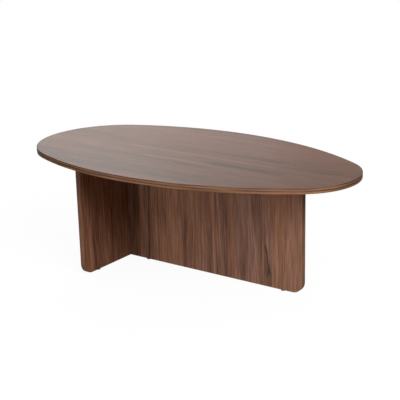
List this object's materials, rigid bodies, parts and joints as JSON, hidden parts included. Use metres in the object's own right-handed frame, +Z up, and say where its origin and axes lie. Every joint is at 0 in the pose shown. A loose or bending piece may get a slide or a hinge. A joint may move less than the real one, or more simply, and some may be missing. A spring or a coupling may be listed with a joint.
{
  "type": "coffee table",
  "caption": "Low coffee table: egg-shaped walnut veneered top on a T-shaped base of upright panels with rounded lower corners, held by hidden cam fittings and dowels.",
  "frame": {"origin": "on the floor, under the middle of the top's length and width", "axes": "+X along the table towards the narrow end of the egg, +Y across it, +Z up"},
  "size_m": [1.1998, 0.6614, 0.406],
  "materials": {
    "walnut_veneer": "satin lacquer over walnut veneer",
    "walnut_edge_band": "satin lacquer over walnut edge band",
    "fibreboard": "raw medium density fibreboard",
    "beech": "raw beech",
    "zinc_plated_steel": "bright zinc plating",
    "die_cast_zinc": "dull die-cast zinc",
    "brown_plastic": "matt moulded cap",
    "black_plastic": "matt moulded glide"
  },
  "bodies": {
    "root": {"top_core": "fibreboard", "top_face_veneer": "walnut_veneer", "top_backing_veneer": "walnut_veneer", "top_edge_band": "walnut_edge_band", "cross_panel_core": "fibreboard", "cross_panel_inner_veneer": "walnut_veneer", "cross_panel_outer_veneer": "walnut_veneer", "cross_panel_edge_band": "walnut_edge_band", "long_panel_core": "fibreboard", "long_panel_front_veneer": "walnut_veneer", "long_panel_back_veneer": "walnut_veneer", "long_panel_edge_band": "walnut_edge_band", "cross_to_top_dowels": "beech", "cross_to_top_cam_bolts": "zinc_plated_steel", "cross_to_top_cams": "die_cast_zinc", "cross_to_top_cam_caps": "brown_plastic", "long_to_top_dowels": "beech", "long_to_top_cam_bolts": "zinc_plated_steel", "long_to_top_cams": "die_cast_zinc", "long_to_top_cam_caps": "brown_plastic", "long_to_cross_dowels": "beech", "long_to_cross_cam_bolts": "zinc_plated_steel", "long_to_cross_cams": "die_cast_zinc", "long_to_cross_cam_caps": "brown_plastic", "long_panel_glide_inner": "black_plastic", "long_panel_glide_outer": "black_plastic", "cross_panel_glide_front": "black_plastic", "cross_panel_glide_back": "black_plastic", "glide_nails": "zinc_plated_steel"}
  },
  "joints": []
}
